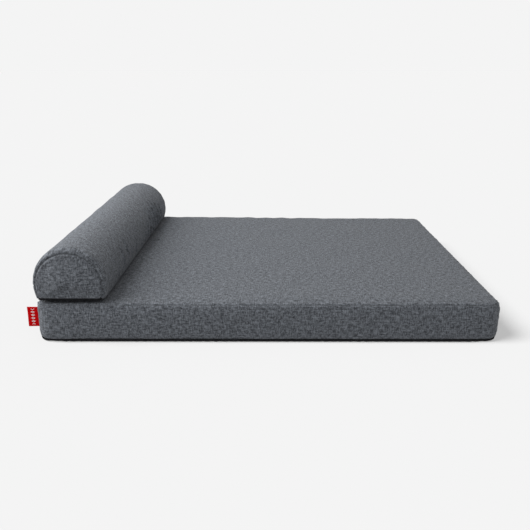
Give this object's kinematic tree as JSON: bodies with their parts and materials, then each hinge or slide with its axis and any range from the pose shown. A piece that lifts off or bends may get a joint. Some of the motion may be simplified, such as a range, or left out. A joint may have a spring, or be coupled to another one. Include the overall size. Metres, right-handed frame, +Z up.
{
  "type": "pet bed",
  "caption": "Rectangular foam pet bed in a zipped grey fabric cover, with a D-shaped bolster along one short side and a small red side label.",
  "frame": {"origin": "centre of the mattress's underside, on the floor", "axes": "+X along the long side, away from the bolster; +Y away from the side that the owner faces; +Z up"},
  "size_m": [0.9318, 0.7166, 0.1884],
  "materials": {
    "grey_fabric": "heathered woven polyester, matt",
    "base_fabric": "black non-slip base cloth",
    "base_foam": "firm open-cell foam",
    "memory_foam": "soft memory foam",
    "bolster_foam": "soft open-cell foam",
    "liner": "thin coated liner",
    "zip_tape": "woven zip tape",
    "zip_coil": "nylon coil",
    "zip_metal": "black enamel",
    "loop_tape": "brushed loop pile",
    "hook_tape": "nylon hooks",
    "label_weave": "red damask weave"
  },
  "bodies": {
    "mattress": {"base_foam": "base_foam", "memory_foam": "memory_foam", "mattress_liner": "liner", "top_panel": "grey_fabric", "front_boxing": "grey_fabric", "left_boxing": "grey_fabric", "right_boxing": "grey_fabric", "rear_boxing_upper": "grey_fabric", "rear_boxing_lower": "grey_fabric", "base_panel": "base_fabric", "mattress_zip_tape": "zip_tape", "mattress_zip_chain": "zip_coil", "mattress_zip_stops": "zip_metal", "loop_strips": "loop_tape"},
    "mattress_slider": {"mattress_zip_slider": "zip_metal"},
    "mattress_pull": {"mattress_zip_pull": "zip_metal"},
    "label": {"woven_label": "label_weave"},
    "bolster": {"bolster_core": "bolster_foam", "bolster_liner": "liner", "bolster_wrap": "grey_fabric", "bolster_zip_strip": "grey_fabric", "bolster_front_end": "grey_fabric", "bolster_rear_end": "grey_fabric", "bolster_base_panel": "base_fabric", "bolster_zip_tape": "zip_tape", "bolster_zip_chain": "zip_coil", "bolster_zip_stops": "zip_metal", "hook_strips": "hook_tape"},
    "bolster_slider": {"bolster_zip_slider": "zip_metal"},
    "bolster_pull": {"bolster_zip_pull": "zip_metal"}
  },
  "joints": [
    {"name": "bolster_lift", "type": "slide", "parent": "mattress", "child": "bolster", "axis": [0, 0, 1], "range_m": [0, 0.15]},
    {"name": "mattress_zip_slide", "type": "slide", "parent": "mattress", "child": "mattress_slider", "axis": [-1, 0, 0], "range_m": [0, 0.744]},
    {"name": "mattress_pull_swing", "type": "hinge", "parent": "mattress_slider", "child": "mattress_pull", "pos_m": [0.372, 0.3598, 0.04], "axis": [0, 0, -1], "range_deg": [0, 180]},
    {"name": "bolster_zip_slide", "type": "slide", "parent": "bolster", "child": "bolster_slider", "axis": [0, -1, 0], "range_m": [0, 0.584]},
    {"name": "bolster_pull_swing", "type": "hinge", "parent": "bolster_slider", "child": "bolster_pull", "pos_m": [-0.4583, 0.292, 0.1164], "axis": [0, 0, -1], "range_deg": [0, 180]},
    {"name": "label_flap", "type": "hinge", "parent": "mattress", "child": "label", "pos_m": [-0.4558, -0.327, 0.0435], "axis": [0, 0, 1], "range_deg": [-80, 80], "stiffness_Nm_per_rad": 0.002}
  ]
}
